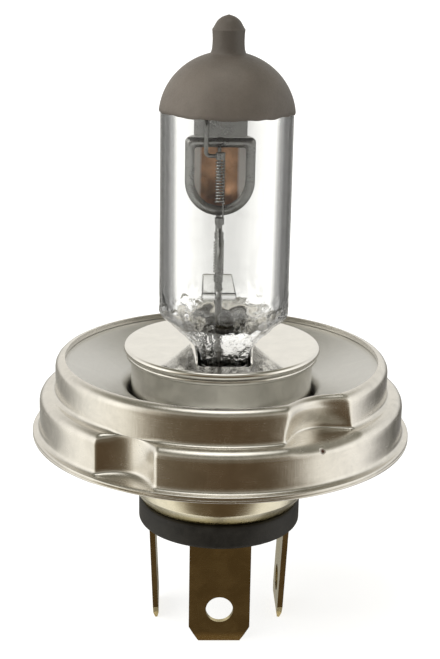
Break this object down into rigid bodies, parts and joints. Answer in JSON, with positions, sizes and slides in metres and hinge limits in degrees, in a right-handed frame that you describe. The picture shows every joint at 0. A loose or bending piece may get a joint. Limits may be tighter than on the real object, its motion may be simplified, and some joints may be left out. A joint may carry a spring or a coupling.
{
  "type": "headlight bulb",
  "caption": "Dual-filament halogen headlight bulb: quartz capsule with coated tip and dipping shield on a stepped reference ring with blade terminals.",
  "frame": {"origin": "on the cap's axis in the seat plane, the flat ledge of the reference ring that rests against the reflector", "axes": "+Z along the bulb axis towards the glass tip, -Y towards the dipped-beam terminal"},
  "size_m": [0.0468, 0.0468, 0.0767],
  "materials": {
    "ring_steel": "nickel-plated, softly polished",
    "dish_steel": "satin",
    "polished_cap": "polished",
    "sleeve_steel": "satin",
    "quartz": "clear",
    "opaque_coating": "grey-brown, semi-matte",
    "molybdenum": "bright drawn",
    "tungsten": "drawn",
    "shell_brass": "nickel-plated brass",
    "black_resin": "moulded",
    "terminal_brass": "tinned, dull",
    "solder": "satin",
    "sleeve_fibre": "woven"
  },
  "bodies": {
    "root": {"reference_ring": "ring_steel", "dish_plate": "dish_steel", "collar_cap": "polished_cap", "collar_sleeve": "sleeve_steel", "clip_carrier": "sleeve_steel", "pinch_clip": "sleeve_steel", "quartz_envelope": "quartz", "quartz_bridge": "quartz", "tip_coating": "opaque_coating", "dipping_shield": "molybdenum", "shield_bracket": "molybdenum", "main_lead": "molybdenum", "dipped_lead": "molybdenum", "common_lead": "molybdenum", "branch_wire": "molybdenum", "feed_wire": "molybdenum", "main_lower_clamp": "molybdenum", "main_upper_clamp": "molybdenum", "dipped_lower_clamp": "molybdenum", "dipped_upper_clamp": "molybdenum", "dipped_foil": "molybdenum", "main_foil": "molybdenum", "common_foil": "molybdenum", "dipped_outer_lead": "molybdenum", "main_outer_lead": "molybdenum", "common_outer_lead": "molybdenum", "main_filament": "tungsten", "dipped_filament": "tungsten", "base_shell": "shell_brass", "insulator": "black_resin", "dipped_terminal": "terminal_brass", "main_terminal": "terminal_brass", "common_terminal": "terminal_brass", "dipped_rivet": "terminal_brass", "main_rivet": "terminal_brass", "common_rivet": "terminal_brass", "dipped_solder_joint": "solder", "main_solder_joint": "solder", "common_solder_joint": "solder", "dipped_lead_sleeve": "sleeve_fibre", "main_lead_sleeve": "sleeve_fibre", "common_lead_sleeve": "sleeve_fibre"}
  },
  "joints": []
}
